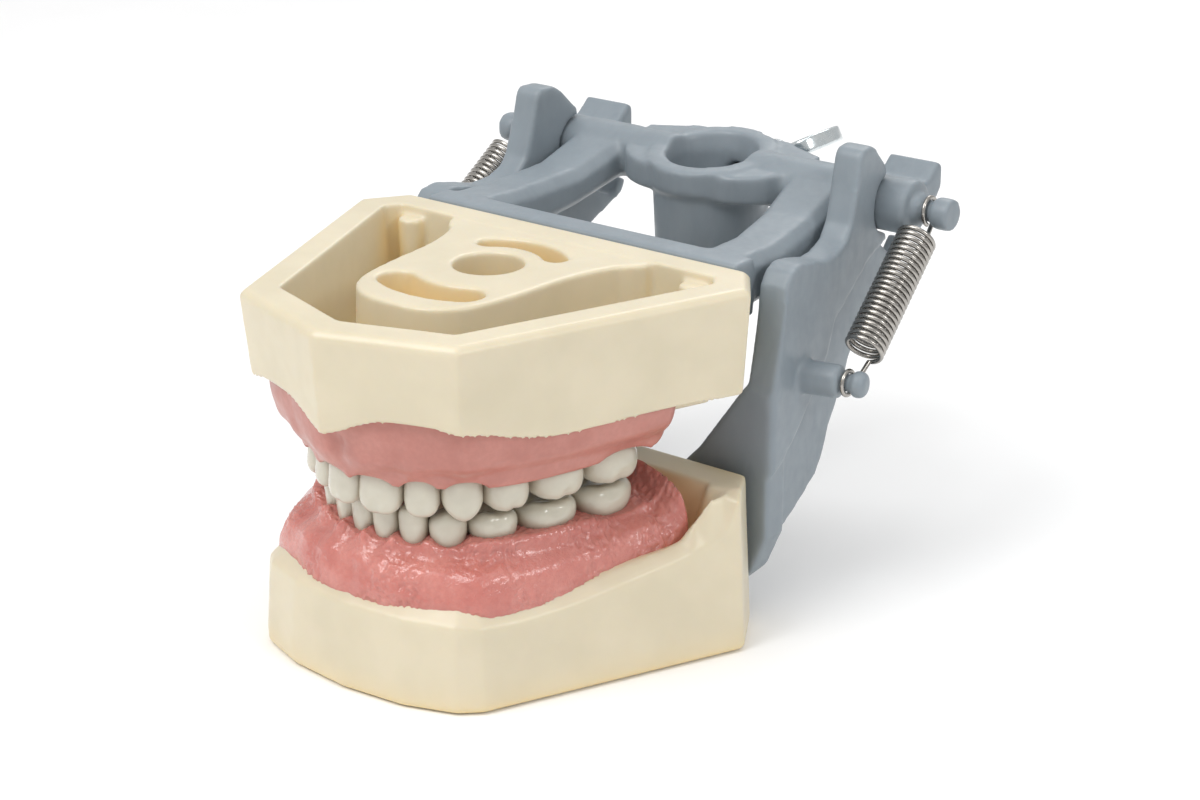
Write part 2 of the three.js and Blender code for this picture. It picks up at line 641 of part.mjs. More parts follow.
function lowerFrame() {
  const plateHalf = [[0, 3], [26.5, 3], [30, 6.4], [32.4, 12], [32.6, 33], [28.4, 33.2], [21, 22.7],
    [17, 18.5], [10, 16.4], [0, 16]];
  const farHalf = plateHalf.slice(1, -1).reverse().map(([x, z]) => [-x, z]);
  const plateOutline = [...plateHalf, ...farHalf].map(([x, z]) => new THREE.Vector2(x, z));
  const plate = new THREE.ExtrudeGeometry(new THREE.Shape(plateOutline), {
    depth: PLATE.back - PLATE.front,
    bevelEnabled: false,
  });
  plate.rotateX(Math.PI / 2);
  plate.translate(0, PLATE.back, 0);
  const flange = sidePlate(FLANGE, (y) => armOuter(y) - FLANGE_STEP, (y) => armOuter(y) + 5);
  const arm = join(cut(sidePlate(armOutline(), armInner, armOuter), flange), lowerBoss());
  const screwHole = rod(MOUNT_SCREW.hole, at(0, -1, LOWER_MOUNT_Z), at(0, 6, LOWER_MOUNT_Z), 12);
  return cut(join(solid(plate), arm, mirrorX(arm)), screwHole);
}

// ---- Springs and screws -------------------------------------------------------------------------
const SPRING = { coils: 20, radius: 2.55, wire: 0.4, bodyLength: 19.6, steps: 6, sides: 4 };

// Wire of constant thickness along a path, with its section carried round each bend without twist.
function wire(path, radius, sides) {
  let normal = null;
  return loft(path.map((point, i) => {
    const before = path[Math.max(0, i - 1)];
    const after = path[Math.min(path.length - 1, i + 1)];
    const tangent = after.clone().sub(before).normalize();
    normal ??= at(tangent.y, -tangent.x, 0).normalize();
    normal = normal.clone().addScaledVector(tangent, -normal.dot(tangent)).normalize();
    const binormal = tangent.clone().cross(normal);
    const ring = [];
    for (let k = 0; k < sides; k++) {
      const angle = 2 * Math.PI * k / sides;
      ring.push(point.clone().addScaledVector(normal, radius * Math.cos(angle))
        .addScaledVector(binormal, radius * Math.sin(angle)));
    }
    return ring;
  }));
}

// Extension spring between the necks of the lower boss and the upper peg, hooked round both.
function spring() {
  const lower = BOSS.start.clone().addScaledVector(BOSS.direction, BOSS.length + BOSS.neckLength / 2);
  const upper = at((PEG.neckFrom + PEG.neckTo) / 2, AXIS.y, AXIS.z);
  const along = upper.clone().sub(lower).normalize();
  const side = at(1, 0, 0).addScaledVector(along, -along.x).normalize();
  const across = along.clone().cross(side);
  const middle = lower.clone().lerp(upper, 0.515);
  const hookRadius = PEG.neck + SPRING.wire + GAP;
  // A hook turns in the plane across the peg, from its open end round to the spring's axis.
  const hook = (centre, sign) => [-60, -20, 20, 60, 100, 140, 180, 215].map((angle) => {
    const a = THREE.MathUtils.degToRad(angle);
    return centre.clone().addScaledVector(across, hookRadius * Math.sin(a) * sign)
      .addScaledVector(along, -hookRadius * Math.cos(a) * sign);
  });
  const coil = [];
  const turns = SPRING.coils * SPRING.steps;
  for (let i = 0; i <= turns; i++) {
    const angle = 2 * Math.PI * i / SPRING.steps;
    coil.push(middle.clone().addScaledVector(along, SPRING.bodyLength * (i / turns - 0.5))
      .addScaledVector(side, SPRING.radius * Math.cos(angle))
      .addScaledVector(across, SPRING.radius * Math.sin(angle)));
  }
  return wire([...hook(lower, 1), ...coil, ...hook(upper, -1).reverse()], SPRING.wire, SPRING.sides);
}

const WING_EAR = { thickness: 2.4, tilt: 28, end: 56.4 }; // tilt of the left ear upwards, in degrees
const WING_SHANK = { radius: 1.5, hole: 1.8, tip: 39.4 };

function wingScrew() {
  const { radius, tip } = WING_SHANK;
  const profile = [[0, 0], [radius, 0], [radius, 6], [3.1, 6], [3.1, 10.5], [2.2, 11.5], [0, 11.5]];
  const shank = turned(profile, at(0, tip, WING_Z), at(0, 1, 0), 20);
  const earShape = new THREE.Shape();
  earShape.moveTo(0, 46.2);
  earShape.lineTo(3.2, 46.2);
  earShape.quadraticCurveTo(6.8, 43.4, 9.2, 45.4);
  earShape.quadraticCurveTo(10.9, 48, 10.2, 51.6);
  earShape.quadraticCurveTo(9.2, WING_EAR.end, 6.6, WING_EAR.end);
  earShape.quadraticCurveTo(4, 55.8, 2.8, 51.8);
  earShape.lineTo(0, 50.4);
  const ear = new THREE.ExtrudeGeometry(earShape, {
    depth: WING_EAR.thickness,
    bevelEnabled: false,
    curveSegments: 8,
  });
  ear.translate(0, 0, -WING_EAR.thickness / 2);
  const plate = solid(ear);
  const ears = join(plate, mirrorX(plate)).rotate([0, -WING_EAR.tilt, 0]).translate([0, 0, WING_Z]);
  return join(shank, ears);
}

// Screw that holds a base to its frame plate from behind.
function mountScrew(z) {
  const { head, headHeight, shank, length } = MOUNT_SCREW;
  const tip = headHeight + length;
  const profile = [[0, 0], [head, 0], [head, headHeight], [shank, headHeight], [shank, tip], [0, tip]];
  return turned(profile, at(0, PLATE.back + GAP + headHeight, z), at(0, -1, 0), 16);
}

// ---- Assembly -----------------------------------------------------------------------------------
const material = (color, roughness, metalness) => (
  new THREE.MeshStandardMaterial({ color, roughness, metalness })
);
const ivory = material(0xe8dcbc, 0.45, 0);
const pink = material(0xd08880, 0.4, 0);
const enamel = material(0xe6e0d0, 0.2, 0);
const steel = material(0x9a9890, 0.3, 1);
const greyPlastic = material(0x80898f, 0.5, 0);
const zinc = material(0xc8d0d2, 0.25, 1);

const model = new THREE.Group();
model.position.y = -CENTRE_Y;
const add = (name, body, look) => model.add(meshOf(name, body, look));

const upperPlaces = toothPlaces(UPPER_TEETH, UPPER_ARCH);
const lowerPlaces = toothPlaces(LOWER_TEETH, LOWER_ARCH);
add("upper_base", upperBase(upperPlaces), ivory);
add("lower_base", lowerBase(lowerPlaces), ivory);
add("upper_gingiva", upperGingiva(upperPlaces), pink);
add("lower_gingiva", lowerGingiva(lowerPlaces), pink);

const headSeat = SCREW.headHeight + GAP;
for (const place of upperPlaces) {
  const { x, y } = place.centre;
  add(`upper_${place.name}`, standingTooth(place, UPPER_ROOT_LENGTH, "upper"), enamel);
  const screw = screwBody().mirror([0, 0, 1]).translate([x, y, UPPER_FLOOR + headSeat]);
  add(`upper_${place.name}_screw`, screw, steel);
}
for (const place of lowerPlaces) {
  const { x, y } = place.centre;
  add(`lower_${place.name}`, standingTooth(place, LOWER_ROOT_LENGTH, "lower"), enamel);
  const screw = screwBody().translate([x, y, LOWER_FLOOR - headSeat]);
  add(`lower_${place.name}_screw`, screw, steel);
}

add("upper_frame", upperFrame(), greyPlastic);
add("lower_frame", lowerFrame(), greyPlastic);
add("left_spring", spring(), steel);
add("right_spring", mirrorX(spring()), steel);
add("wing_screw", wingScrew(), zinc);
add("upper_mount_screw", mountScrew(UPPER_MOUNT_Z), steel);
add("lower_mount_screw", mountScrew(LOWER_MOUNT_Z), steel);

export default model;
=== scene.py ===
"""Looks of a pediatric typodont: ivory bases, pink gums, twenty-four teeth and a grey articulator frame.

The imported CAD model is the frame. Teeth, gums, springs and screws are rebuilt here as smooth meshes in the
places of their CAD nodes. The bases and the two frames keep their CAD shape and get rounded edges.
"""
import json
import math

import bmesh
import bpy
import numpy as np
from mathutils import Matrix, Vector, noise

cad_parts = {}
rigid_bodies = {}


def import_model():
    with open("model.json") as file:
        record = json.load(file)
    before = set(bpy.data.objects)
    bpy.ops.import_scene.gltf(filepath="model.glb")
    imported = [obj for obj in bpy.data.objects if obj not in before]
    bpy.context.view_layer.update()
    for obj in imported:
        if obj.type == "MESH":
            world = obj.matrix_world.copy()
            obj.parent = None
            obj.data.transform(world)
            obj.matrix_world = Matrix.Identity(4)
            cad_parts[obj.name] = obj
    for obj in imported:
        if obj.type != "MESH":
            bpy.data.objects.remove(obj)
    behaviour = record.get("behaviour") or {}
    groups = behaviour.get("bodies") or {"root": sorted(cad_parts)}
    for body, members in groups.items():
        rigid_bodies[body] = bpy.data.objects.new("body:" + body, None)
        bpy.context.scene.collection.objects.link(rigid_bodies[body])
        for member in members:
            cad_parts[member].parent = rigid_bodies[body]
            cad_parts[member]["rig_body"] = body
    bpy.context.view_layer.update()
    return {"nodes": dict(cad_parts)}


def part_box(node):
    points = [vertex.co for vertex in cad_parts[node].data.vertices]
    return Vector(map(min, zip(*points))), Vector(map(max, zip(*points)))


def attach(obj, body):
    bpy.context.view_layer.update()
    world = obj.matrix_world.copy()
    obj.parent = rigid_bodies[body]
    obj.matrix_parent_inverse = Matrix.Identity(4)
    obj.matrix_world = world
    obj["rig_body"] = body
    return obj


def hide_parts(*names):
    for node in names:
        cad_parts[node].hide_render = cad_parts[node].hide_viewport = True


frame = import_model()
NODES = frame["nodes"]
MM = 0.001

SIDES = ("right", "left")
KINDS = ("central_incisor", "lateral_incisor", "canine", "first_molar", "second_molar", "permanent_molar")
JAWS = ("upper", "lower")
GUM_LINE = {"upper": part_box("upper_gingiva")[0].z, "lower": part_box("lower_gingiva")[1].z}
TOOTHWARDS = {"upper": -1, "lower": 1}  # the way the crowns of a jaw point along Z

# Camera: a 72 mm lens looking down on the left front of the model.
LENS = 72
AZIMUTH = math.radians(38.246)
ELEVATION = math.radians(21.519)
ROLL = math.radians(-0.462)
EYE = Vector((0.19672, -0.24653, 0.14826))


# ---- Materials ----------------------------------------------------------------------------------
class Shader:
    """A Principled material with short calls for the nodes that feed it. Lengths in the graph are metres."""

    def __init__(self, name, **values):
        self.material = bpy.data.materials.new(name)
        self.material.use_nodes = True
        self.tree = self.material.node_tree
        self.principled = self.tree.nodes["Principled BSDF"]
        self.place = self.add("ShaderNodeTexCoord").outputs["Object"]
        for key, value in values.items():
            self.principled.inputs[key.replace("_", " ")].default_value = value

    def add(self, kind, **options):
        node = self.tree.nodes.new(kind)
        for key, value in options.items():
            setattr(node, key, value)
        return node

    def link(self, source, target):
        self.tree.links.new(source, target)

    def noise(self, size, detail=3, distortion=0.0, stretch=(1, 1, 1)):
        """Noise with features about `size` metres across."""
        mapping = self.add("ShaderNodeMapping")
        mapping.inputs["Scale"].default_value = stretch
        self.link(self.place, mapping.inputs["Vector"])
        node = self.add("ShaderNodeTexNoise")
        node.inputs["Scale"].default_value = 1 / size
        node.inputs["Detail"].default_value = detail
        node.inputs["Distortion"].default_value = distortion
        self.link(mapping.outputs["Vector"], node.inputs["Vector"])
        return node.outputs["Fac"]

    def cells(self, size):
        node = self.add("ShaderNodeTexVoronoi", feature="SMOOTH_F1")
        node.inputs["Scale"].default_value = 1 / size
        self.link(self.place, node.inputs["Vector"])
        return node.outputs["Distance"]

    def spread(self, value, low, high, start=0.35, end=0.65):
        """Maps the middle of a noise onto the range from low to high."""
        node = self.add("ShaderNodeMapRange")
        for socket, number in zip(node.inputs[1:5], (start, end, low, high)):
            socket.default_value = number
        self.link(value, node.inputs["Value"])
        return node.outputs["Result"]

    def mix(self, factor, a, b, blend="MIX"):
        node = self.add("ShaderNodeMix", data_type="RGBA", blend_type=blend)
        for socket, value in ((node.inputs["Factor"], factor), (node.inputs[6], a), (node.inputs[7], b)):
            if isinstance(value, (int, float)):
                socket.default_value = value
            elif isinstance(value, tuple):
                socket.default_value = (*value, 1)
            else:
                self.link(value, socket)
        return node.outputs[2]

    def height(self):
        """Height of the shaded point, in metres above the surface that the model stands on."""
        node = self.add("ShaderNodeSeparateXYZ")
        self.link(self.place, node.inputs[0])
        return node.outputs["Z"]

    def hollow(self, distance):
        """0 deep in a hollow and 1 in the open."""
        node = self.add("ShaderNodeAmbientOcclusion", samples=8)
        node.inputs["Distance"].default_value = distance
        return node.outputs["AO"]

    def colour(self, value):
        self.link(value, self.principled.inputs["Base Color"])
        return self

    def rough(self, value):
        self.link(value, self.principled.inputs["Roughness"])
        return self

    def bump(self, *layers):
        """Adds bump layers, each (height, depth in metres)."""
        normal = None
        for height, depth in layers:
            node = self.add("ShaderNodeBump")
            node.inputs["Strength"].default_value = 1
            node.inputs["Distance"].default_value = depth
            self.link(height, node.inputs["Height"])
            if normal:
                self.link(normal, node.inputs["Normal"])
            normal = node.outputs["Normal"]
        self.link(normal, self.principled.inputs["Normal"])
        return self


def ivory():
    s = Shader("ivory_resin", Subsurface_Weight=0.16, Subsurface_Radius=(1.0, 0.62, 0.26),
               Subsurface_Scale=2.2 * MM, Coat_Weight=0.1, Coat_Roughness=0.25)
    cloud = s.spread(s.noise(9 * MM, 4), 0, 1)
    skin = s.mix(cloud, (0.645, 0.575, 0.42), (0.69, 0.615, 0.455))
    # Painted light: the ambient-occlusion mask turns hollows and recesses towards warm yellow, a painted glow of light
    # bounced about and passed through the resin.
    deep = s.spread(s.hollow(9 * MM), 0.9, 0, 0.3, 0.8)
    s.colour(s.mix(deep, skin, (0.80, 0.63, 0.34)))
    s.rough(s.spread(s.noise(2.5 * MM, 5), 0.3, 0.42))
    return s.bump((s.noise(0.35 * MM, 3), 0.006 * MM), (s.noise(6 * MM, 2), 0.05 * MM)).material


def gum(name, low_rough, high_rough, pale, dark, stipple):
    s = Shader(name, Subsurface_Weight=0.22, Subsurface_Radius=(1.0, 0.35, 0.25), Subsurface_Scale=1.6 * MM,
               Coat_Weight=0.3, Coat_Roughness=0.12)
    blotch = s.spread(s.noise(4.5 * MM, 5, 0.4), 0, 1)
    fine = s.spread(s.noise(0.7 * MM, 3), 0, 0.35)
    base = s.mix(blotch, pale, dark)
    s.colour(s.mix(fine, base, tuple(c * 0.9 for c in dark)))
    s.rough(s.spread(s.noise(1.6 * MM, 4), low_rough, high_rough))
    return s.bump((s.noise(0.6 * MM, 2, 1.4), stipple), (s.noise(0.25 * MM, 3), 0.008 * MM)).material


def enamel():
    s = Shader("tooth_enamel", Subsurface_Weight=0.12, Subsurface_Radius=(1.0, 0.8, 0.6),
               Subsurface_Scale=1.0 * MM, Coat_Weight=0.35, Coat_Roughness=0.08)
    cloud = s.spread(s.noise(3.2 * MM, 3), 0, 1)
    body = s.mix(cloud, (0.56, 0.53, 0.435), (0.61, 0.58, 0.48))
    # Painted shade: the ambient-occlusion mask darkens clefts, fissures and gaps between teeth towards a warm brown,
    # standing in for the shade that falls there.
    painted_cleft_shade = s.spread(s.hollow(1.6 * MM), 0.75, 0, 0.25, 0.8)
    s.colour(s.mix(painted_cleft_shade, body, (0.42, 0.36, 0.27)))
    s.rough(s.spread(s.noise(1.1 * MM, 4), 0.16, 0.27))
    return s.bump((s.noise(1.4 * MM, 3, 0, (1, 1, 0.35)), 0.02 * MM), (s.noise(0.2 * MM, 2), 0.003 * MM)).material


def grey_plastic():
    s = Shader("grey_plastic", Subsurface_Weight=0.03, Subsurface_Scale=1 * MM)
    cloud = s.spread(s.noise(7 * MM, 4), 0, 1)
    flow = s.spread(s.noise(3 * MM, 4, 1.5, (1, 1, 0.3)), 0, 0.5)
    base = s.mix(cloud, (0.212, 0.247, 0.275), (0.236, 0.273, 0.303))
    s.colour(s.mix(flow, base, (0.25, 0.288, 0.318)))
    s.rough(s.spread(s.noise(1.8 * MM, 5), 0.36, 0.5))
    return s.bump((s.noise(0.16 * MM, 2), 0.006 * MM), (s.noise(2.2 * MM, 3), 0.03 * MM)).material


def metal(name, light, dark, low_rough, high_rough, grain):
    s = Shader(name, Metallic=1.0)
    s.colour(s.mix(s.spread(s.noise(1.4 * MM, 4), 0, 1), light, dark))
    s.rough(s.spread(s.noise(0.5 * MM, 4, 0, grain), low_rough, high_rough))
    return s.bump((s.noise(0.12 * MM, 2, 0, grain), 0.004 * MM)).material


def floor_paint():
    s = Shader("white_floor", Roughness=0.6)
    s.colour(s.mix(s.spread(s.noise(60 * MM, 2), 0, 1), (0.93, 0.93, 0.93), (0.95, 0.95, 0.95)))
    return s.material


IVORY = ivory()
UPPER_GUM = gum("upper_gum", 0.36, 0.5, (0.53, 0.22, 0.18), (0.47, 0.18, 0.145), 0.01 * MM)
LOWER_GUM = gum("lower_gum", 0.1, 0.22, (0.63, 0.25, 0.21), (0.54, 0.18, 0.15), 0.09 * MM)
ENAMEL = enamel()
GREY = grey_plastic()
SPRING_STEEL = metal("spring_steel", (0.46, 0.44, 0.41), (0.38, 0.36, 0.335), 0.2, 0.28, (1, 1, 1))
SCREW_STEEL = metal("screw_steel", (0.62, 0.6, 0.55), (0.5, 0.48, 0.43), 0.24, 0.4, (1, 1, 1))
ZINC = metal("bright_zinc", (0.74, 0.78, 0.79), (0.66, 0.72, 0.74), 0.14, 0.28, (1, 1, 4))


# ---- Mesh helpers -------------------------------------------------------------------------------
def piece(name, points, faces, material, body, replaced=()):
    """A smooth-shaded mesh object in the row frame that rides on a body."""
    mesh = bpy.data.meshes.new(name)
    mesh.from_pydata([tuple(map(float, p)) for p in points], [], faces)
    mesh.validate()
    work = bmesh.new()
    work.from_mesh(mesh)
    bmesh.ops.recalc_face_normals(work, faces=work.faces)
    work.to_mesh(mesh)
    work.free()
    mesh.shade_smooth()
    mesh.materials.append(material)
    made = bpy.data.objects.new(name, mesh)
    bpy.context.scene.collection.objects.link(made)
    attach(made, body)
    if replaced:
        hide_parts(*replaced)
    return made


def grid_faces(rows, columns, closed=True):
    """Quads of a grid of points whose rows close on themselves, or don't."""
    last = columns if closed else columns - 1
    return [
        (r * columns + c, r * columns + (c + 1) % columns, (r + 1) * columns + (c + 1) % columns,
         (r + 1) * columns + c)
        for r in range(rows - 1) for c in range(last)
    ]


def spline(points, samples):
    """Evenly spaced points on a smooth curve through the given ones."""
    p = np.array(points, float)
    p = np.vstack([2 * p[0] - p[1], p, 2 * p[-1] - p[-2]])
    t = np.linspace(0, 1, 24, endpoint=False)[:, None]
    dense = []
    for a, b, c, d in zip(p, p[1:], p[2:], p[3:]):
        dense.append(0.5 * (2 * b + (c - a) * t + (2 * a - 5 * b + 4 * c - d) * t ** 2
                            + (3 * b - a - 3 * c + d) * t ** 3))
    dense = np.vstack([*dense, p[-2:-1]])
    length = np.r_[0, np.cumsum(np.linalg.norm(np.diff(dense, axis=0), axis=1))]
    at = np.linspace(0, length[-1], samples)
    return np.column_stack([np.interp(at, length, dense[:, k]) for k in range(dense.shape[1])])


def bell(x, width):
    return np.exp(-(np.asarray(x) / width) ** 2)


# ---- Teeth --------------------------------------------------------------------------------------
def tooth_row(jaw):
    """The teeth of a jaw from the right permanent molar round to the left one, measured from their nodes."""
    names = [f"{jaw}_right_{k}" for k in reversed(KINDS)] + [f"{jaw}_left_{k}" for k in KINDS]
    row = []
    for name in names:
        corners = np.array([v.co for v in NODES[name].data.vertices])
        along_z = TOOTHWARDS[jaw] * (corners[:, 2] - GUM_LINE[jaw])
        root = corners[along_z < along_z.min() + 0.1 * MM][:, :2].mean(axis=0)
        row.append({"name": name, "kind": name.split("_", 2)[2], "corners": corners, "along_z": along_z, "root": root})
    for i, tooth in enumerate(row):
        before = row[max(0, i - 1)]["root"]
        after = row[min(len(row) - 1, i + 1)]["root"]
        along = (after - before) / np.linalg.norm(after - before)
        out = np.array([along[1], -along[0]])
        crown = tooth["corners"][tooth["along_z"] > -0.1 * MM][:, :2] - tooth["root"]
        tooth["along"] = along
        tooth["out"] = out
        tooth["span"] = (np.min(crown @ along), np.max(crown @ along))
        tooth["depth"] = (np.min(crown @ out), np.max(crown @ out))
        tooth["height"] = tooth["along_z"].max()
    return row


# How each kind of crown narrows above its widest level: exponents of its front and side outline, how far the
# biting edge leans out, and the share of the depth left at the edge.
CROWNS = {
    "central_incisor": {"front": 3.4, "side": 1.25, "lean": 0.5, "waist": 0.36},
    "lateral_incisor": {"front": 2.7, "side": 1.3, "lean": 0.46, "waist": 0.4},
    "canine": {"front": 1.32, "side": 1.35, "lean": 0.34, "waist": 0.36},
    "first_molar": {"front": 2.9, "side": 2.5, "lean": 0.05, "waist": 0.42},
    "second_molar": {"front": 3.2, "side": 2.8, "lean": 0.02, "waist": 0.42},
    "permanent_molar": {"front": 3.3, "side": 2.9, "lean": 0.0, "waist": 0.42},
}
TOOTH_AROUND = 72
TOOTH_BELOW = 10
TOOTH_ABOVE = 34


def crown_points(tooth, upper):
    """Rings of a crown in its own frame: x along the arch, y outwards, z towards the biting edge."""
    form = CROWNS[tooth["kind"]]
    molar = "molar" in tooth["kind"]
    half_width = (tooth["span"][1] - tooth["span"][0]) / 2 * 1.0
    half_depth = (tooth["depth"][1] - tooth["depth"][0]) / 2
    height = tooth["height"]
    waist = form["waist"] * height
    angle = np.linspace(0, 2 * np.pi, TOOTH_AROUND, endpoint=False)
    power = 2 / 2.45
    c, s = np.cos(angle), np.sin(angle)
    unit_x = np.sign(c) * np.abs(c) ** power
    unit_y = np.sign(s) * np.abs(s) ** power
    rings = []
    neck = -1.6 * MM
    for t in np.linspace(0, 1, TOOTH_BELOW, endpoint=False):
        z = neck + (waist - neck) * t
        swell = math.sin(t * math.pi / 2)
        rings.append((0.74 + 0.26 * swell, 0.80 + 0.2 * swell, z))
    for turn in np.linspace(0, np.pi / 2, TOOTH_ABOVE):
        rise = math.sin(turn)
        fall = max(math.cos(turn), 0)
        lift = rise ** (2 / 2.4)
        rings.append((fall ** (2 / form["front"]), fall ** (2 / form["side"] * 0.62), waist + (height - waist) * lift))
    points = []
    for wide, deep, z in rings:
        x = unit_x * wide
        y = unit_y * deep
        top = max(0.0, (z - waist) / (height - waist))
        px, py = x.copy(), y.copy()
        if molar:
            lobes = 1 - 0.075 * bell(px - (0.06 if upper else -0.06), 0.24) * min(1, top * 2.2) * (py > 0)
            lobes -= 0.04 * bell(px, 0.2) * min(1, top * 2) * (py < 0)
            y = y * lobes
            fissure = 0.42 * bell(py, 0.26) + 0.14 * bell(px, 0.2)
            basin = 0.22 * bell(np.hypot(px / 0.75, py / 0.7), 0.75)
            z = z - (fissure + basin) * MM * top ** 3
            z = z + 0.1 * MM * np.cos(9 * px + 2) * np.cos(8 * py) * top ** 3
        else:
            flat = 1 - 0.07 * np.cos(3.1 * np.pi * px) * (py > 0) * top * (tooth["kind"] == "central_incisor")
            y = y * flat
            hollow = 0.24 * bell(px, 0.5) * (py < 0) * math.sin(math.pi * min(1, top)) 
            y = y * (1 - hollow)
        lean = form["lean"] * top ** 1.3 * half_depth
        points.append(np.column_stack([x * half_width, y * half_depth + lean, np.broadcast_to(z, x.shape)]))
    return np.vstack(points), len(rings)


def build_tooth(tooth, jaw):
    local, rows = crown_points(tooth, jaw == "upper")
    middle = sum(tooth["span"]) / 2
    centre = sum(tooth["depth"]) / 2
    plan = (tooth["root"] + np.outer(local[:, 0] + middle, tooth["along"])
            + np.outer(local[:, 1] + centre, tooth["out"]))
    z = GUM_LINE[jaw] + TOOTHWARDS[jaw] * local[:, 2]
    points = np.column_stack([plan, z])
    faces = grid_faces(rows, TOOTH_AROUND)
    faces.append(tuple(range(TOOTH_AROUND)))
    last = (rows - 1) * TOOTH_AROUND
    faces.append(tuple(range(last, last + TOOTH_AROUND)))
    made = piece(f"crown_{tooth['name']}", points, faces, ENAMEL, jaw, [tooth["name"]])
    clean = bmesh.new()
    clean.from_mesh(made.data)
    bmesh.ops.remove_doubles(clean, verts=clean.verts, dist=0.004 * MM)
    clean.to_mesh(made.data)
    clean.free()
    made.data.shade_smooth()
    return made


# ---- Gums ---------------------------------------------------------------------------------------
# By distance from the midline in mm: how far the gum's foot stands out from the crowns' outer faces, the
# height of that foot, and the depth of the ridge behind them.
GUM_SHAPE = {
    "upper": {
        "foot_out": [(0, 3.2), (8, 3.4), (15, 4.6), (21, 3.2), (28, 3.1), (36, 4), (46, 4.4)],
        "foot_z": [(0, 39), (46, 39)],
        "ridge_depth": [(0, 4.4), (9, 4.2), (15, 5.2), (21, 7.6), (29, 8.6), (46, 9.2)],
        "reach": 45.6,
        "root": 0.3,
        "papilla": 0.62,
        "pad": 0.8,
        "pad_from": 42,
    },
    "lower": {
        "foot_out": [(0, 4.2), (10, 4.9), (15, 6.2), (19, 5), (26, 4.4), (34, 4.8), (43.5, 5)],
        "foot_z": [(0, 12.2), (10, 11.6), (16, 10.8), (20, 10), (27, 10.2), (34, 12.2), (43.5, 15.7)],
        "ridge_depth": [(0, 3.6), (8.6, 3.8), (14, 4.6), (20, 6.6), (28, 7.8), (43.5, 8.4)],
        "reach": 45.2,
        "root": -0.45,
        "papilla": 0.66,
        "pad": 5,
        "pad_from": 40,
    },
}
STATIONS = 480
SECTION = 150


def table(pairs, at):
    xs, ys = zip(*pairs)
    value = np.interp(at, xs, ys)
    return float(value)


def outer_line(row):
    """The line that the crowns' outer faces follow, with the distance of each of its points from the midline."""
    faces = [t["root"] + t["out"] * t["depth"][1] for t in row]
    step = (faces[-1] - faces[-2]) * 0.9
    back = (faces[0] - faces[1]) * 0.9
    line = spline([faces[0] + back, *faces, faces[-1] + step], 1200)
    for _ in range(60):
        line[1:-1] = (line[:-2] + 2 * line[1:-1] + line[2:]) / 4
    length = np.r_[0, np.cumsum(np.linalg.norm(np.diff(line, axis=0), axis=1))]
    middle = np.interp(0, line[:, 0], length)
    return line, (length - middle) / MM


def gum_stations(jaw, row):
    shape = GUM_SHAPE[jaw]
    line, distance = outer_line(row)
    places = np.linspace(-shape["reach"], shape["reach"], STATIONS)
    x = np.interp(places, distance, line[:, 0])
    y = np.interp(places, distance, line[:, 1])
    point = np.column_stack([x, y])
    tangent = np.gradient(point, axis=0)
    tangent /= np.linalg.norm(tangent, axis=1)[:, None]
    out = np.column_stack([tangent[:, 1], -tangent[:, 0]])
    centres = [np.interp(0, (line - t["root"]) @ t["along"], distance) for t in row]
    halves = [(t["span"][1] - t["span"][0]) / 2 / MM for t in row]
    return places, point, out, centres, halves


def gum_section(jaw, place, centres, halves):
    """Outline of the gum across the arch, (outwards, towards the teeth) in mm from the gum line."""
    shape = GUM_SHAPE[jaw]
    way = TOOTHWARDS[jaw]
    out = table(shape["foot_out"], abs(place))
    foot = way * (table(shape["foot_z"], abs(place)) - GUM_LINE[jaw] / MM)
    inner = -table(shape["ridge_depth"], abs(place))
    gaps = np.abs(place - np.array(centres)) / np.array(halves)
    nearest = min(1.0, gaps.min())
    front = math.exp(-(place / 24) ** 4)
    margin = -0.75 + shape["papilla"] * 1.55 * nearest ** 2.4
    root = shape["root"] * (math.cos(nearest * math.pi) * 0.5 + 0.1) * (0.45 + 0.55 * front)
    notch = 0.6 * math.exp(-(place / 1.1) ** 2)
    controls = [
        (out, foot), (out - 0.15 - notch * 0.5, foot * 0.72), (out * 0.86 - notch + root * 0.4, foot * 0.52),
        (out * 0.6 + 0.45 + root - notch * 0.6, foot * 0.33), (1.55 + root * 1.3, foot * 0.16 - 0.2),
        (1.02 + root * 0.8, margin - 0.35), (0.62 + root * 0.5, margin + 0.05), (-0.1, margin + 0.02),
        (inner * 0.5, margin * 0.6), (inner + 0.2, margin * 0.6 - 0.1), (inner - 0.9, -0.9), (inner - 2, -3.2),
        (inner - 2.7, -4.8), (inner - 2.8, -6.2), (inner * 0.3, -6.6), (out - 2.2, -7),
    ]
    return spline(controls, SECTION)


def pad_rise(place, shape):
    """How far the gum has risen, from 0 to 1, behind the last molar."""
    return min(1.0, max(0.0, (place - shape["pad_from"]) / 4)) ** 2


def build_gum(jaw, row, material):
    shape = GUM_SHAPE[jaw]
    places, point, out, centres, halves = gum_stations(jaw, row)
    way = TOOTHWARDS[jaw]
    rings = []
    for place, p, o in zip(places, point, out):
        section = gum_section(jaw, place, centres, halves)
        end = min(1.0, (shape["reach"] - abs(place)) / (3.2 if jaw == "upper" else 1.6))
        if end < 1:
            keep = 0.3 + 0.7 * math.sqrt(max(0.0, 1 - (1 - end) ** 2))
            centre = np.array([section[:, 0].mean(), section[0, 1]])
            section = centre + (section - centre) * keep
        section[:, 1] += shape["pad"] * np.clip((section[:, 1] + 6) / 6, 0, 1) * pad_rise(abs(place), shape)
        plan = p + np.outer(section[:, 0] * MM, o)
        rings.append(np.column_stack([plan, GUM_LINE[jaw] + way * section[:, 1] * MM]))
    points = np.vstack(rings)
    points = roughen(points, rings, jaw)
    faces = grid_faces(STATIONS, SECTION)
    faces.append(tuple(range(SECTION)))
    last = (STATIONS - 1) * SECTION
    faces.append(tuple(range(last, last + SECTION)))
    return piece(f"{jaw}_gum", points, faces, material, jaw, [f"{jaw}_gingiva"])


